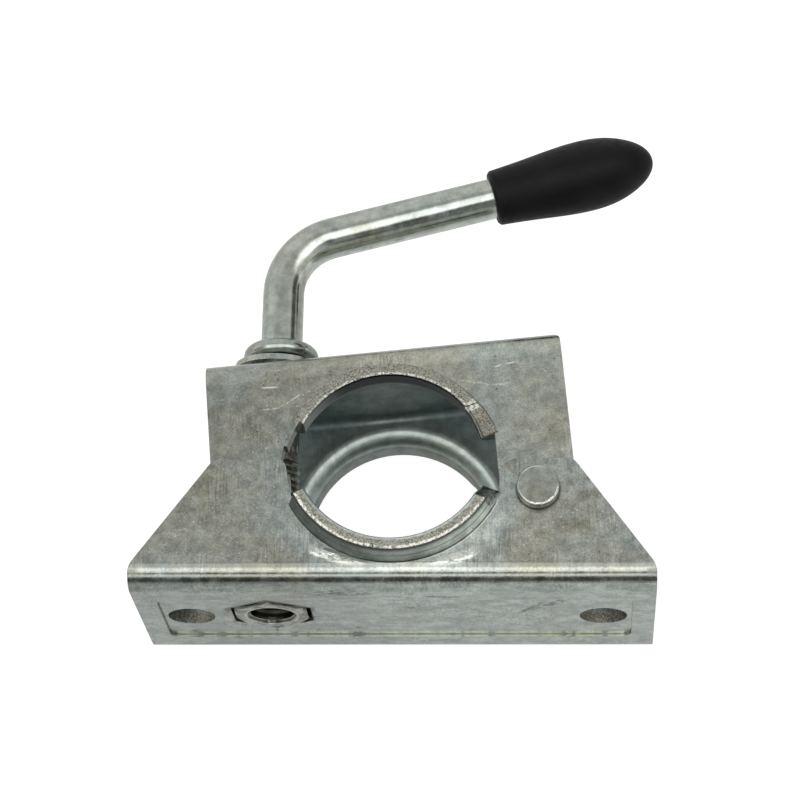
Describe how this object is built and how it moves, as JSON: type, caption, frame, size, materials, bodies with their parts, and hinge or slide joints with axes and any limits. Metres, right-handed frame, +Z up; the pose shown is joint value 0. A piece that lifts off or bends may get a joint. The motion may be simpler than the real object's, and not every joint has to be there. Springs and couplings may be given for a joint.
{
  "type": "jockey wheel clamp",
  "caption": "Pressed steel clamp that bolts to a trailer drawbar and grips a jockey wheel's tube between a fixed collar and a swinging jaw closed by a cranked screw handle.",
  "frame": {"origin": "centre of the tube bore, halfway between the upper and lower collars", "axes": "+Z up along the clamped tube, -Y out of the face that is bolted to the drawbar, +X from the screw towards the jaw's rivet"},
  "size_m": [0.1321, 0.1354, 0.065],
  "materials": {
    "zinc_pressing": "mottled zinc plate on pressed steel",
    "zinc_jaw": "mottled zinc plate on pressed steel",
    "zinc_bar": "bright zinc plate on drawn bar",
    "zinc_fastener": "dull zinc plate",
    "grip_black": "matte moulded plastic"
  },
  "bodies": {
    "bracket": {"mounting_bracket": "zinc_pressing", "captive_nut": "zinc_fastener", "pivot_rivet": "zinc_fastener"},
    "jaw": {"swing_jaw": "zinc_jaw"},
    "feed": {"clamp_washer": "zinc_fastener"},
    "handle": {"clamp_screw": "zinc_bar", "handle_grip": "grip_black"}
  },
  "joints": [
    {"name": "jaw_swing", "type": "hinge", "parent": "bracket", "child": "jaw", "pos_m": [0.0362, -0.0099, 0], "axis": [0, 0, 1], "range_deg": [-8, 2]},
    {"name": "screw_feed", "type": "slide", "parent": "bracket", "child": "feed", "axis": [0, 1, 0], "range_m": [-0.00175, 0.007]},
    {"name": "handle_turn", "type": "hinge", "parent": "feed", "child": "handle", "pos_m": [-0.0318, 0, 0], "axis": [0, 1, 0], "range_deg": [-360, 1440]}
  ],
  "couplings": [
    {"joint": "screw_feed", "follows": "handle_turn", "m_per_rad": 0.00027852},
    {"joint": "jaw_swing", "follows": "handle_turn", "ratio": -0.005555}
  ]
}
